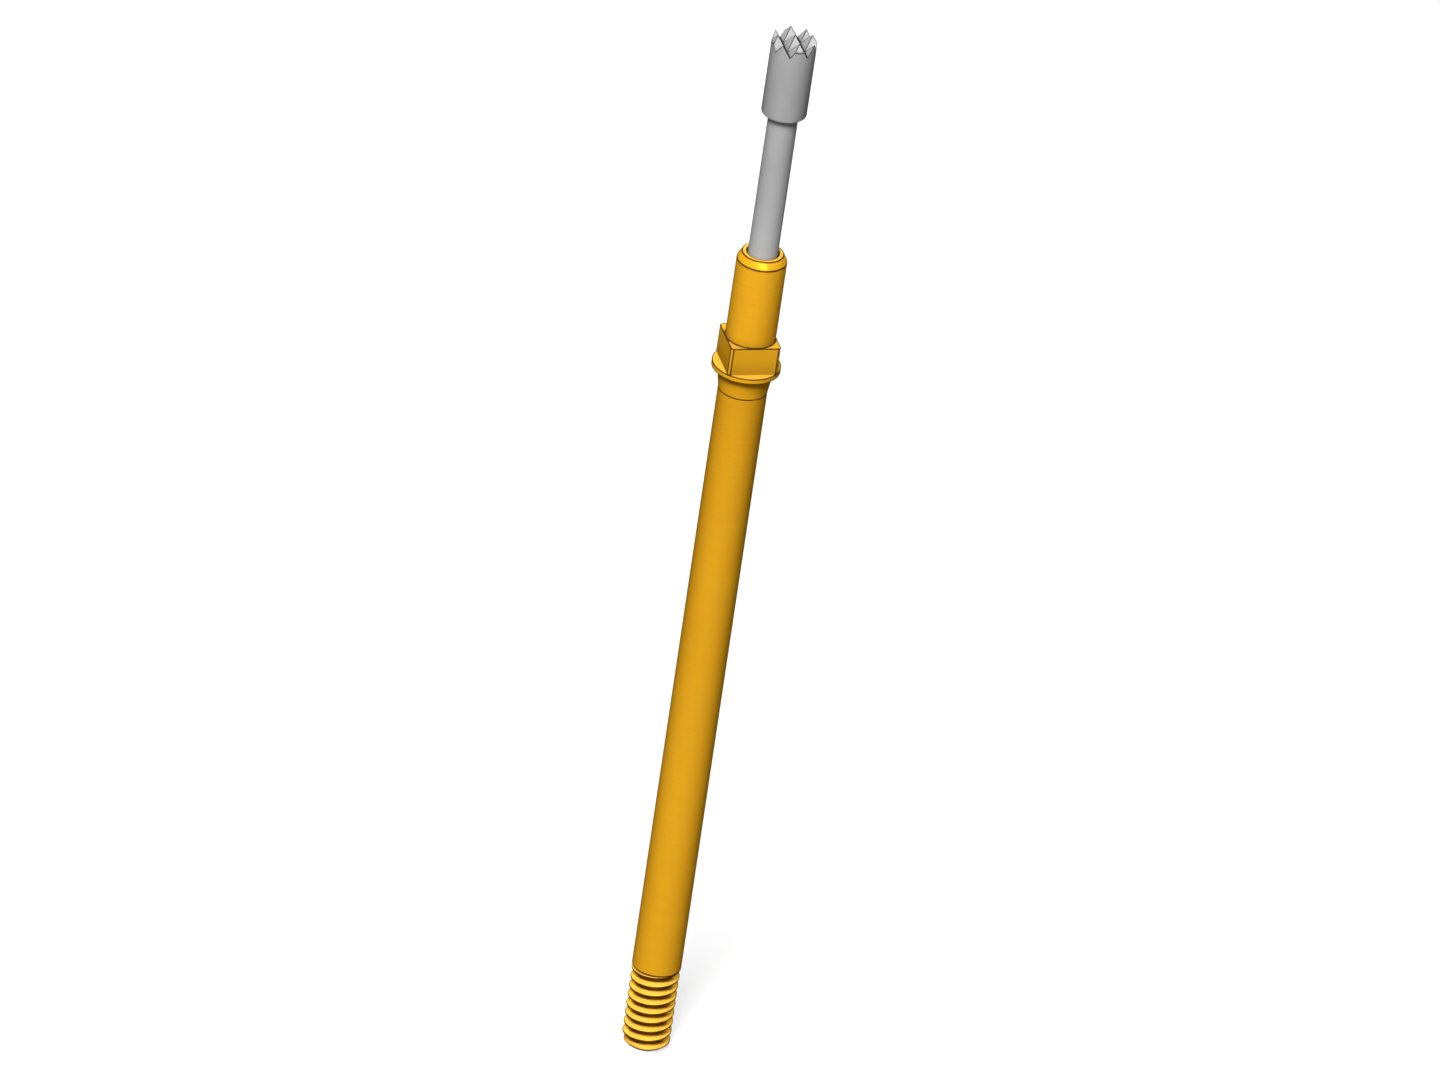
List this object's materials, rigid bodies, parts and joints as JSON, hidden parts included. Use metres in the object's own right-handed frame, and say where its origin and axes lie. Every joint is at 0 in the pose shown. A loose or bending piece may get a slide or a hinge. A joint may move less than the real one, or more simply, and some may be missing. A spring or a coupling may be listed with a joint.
{
  "type": "pogo pin",
  "caption": "Spring-loaded contact probe: a serrated plunger slides and turns in a gold-plated barrel with a square drive, collar, centring cone and threaded tail.",
  "frame": {"origin": "centre of the collar's underside, on the probe's axis", "axes": "+Z along the axis from the collar to the serrated head; X and Y square to the flats of the square drive"},
  "size_m": [0.002, 0.002, 0.0333],
  "materials": {
    "gold_plate": "satin gold plating on turned brass",
    "plunger_steel": "hardened steel with fine turning marks",
    "spring_wire": "drawn stainless wire",
    "ball_steel": "polished steel ball"
  },
  "bodies": {
    "barrel": {"barrel": "gold_plate", "spring": "spring_wire"},
    "ball": {"bias_ball": "ball_steel"},
    "plunger": {"plunger": "plunger_steel"}
  },
  "joints": [
    {"name": "plunger_slide", "type": "slide", "parent": "barrel", "child": "ball", "axis": [0, 0, -1], "range_m": [0, 0.0043], "stiffness_N_per_m": 480, "deforming": ["spring"]},
    {"name": "plunger_turn", "type": "hinge", "parent": "ball", "child": "plunger", "pos_m": [0, 0, 0], "axis": [0, 0, 1], "continuous": true}
  ]
}
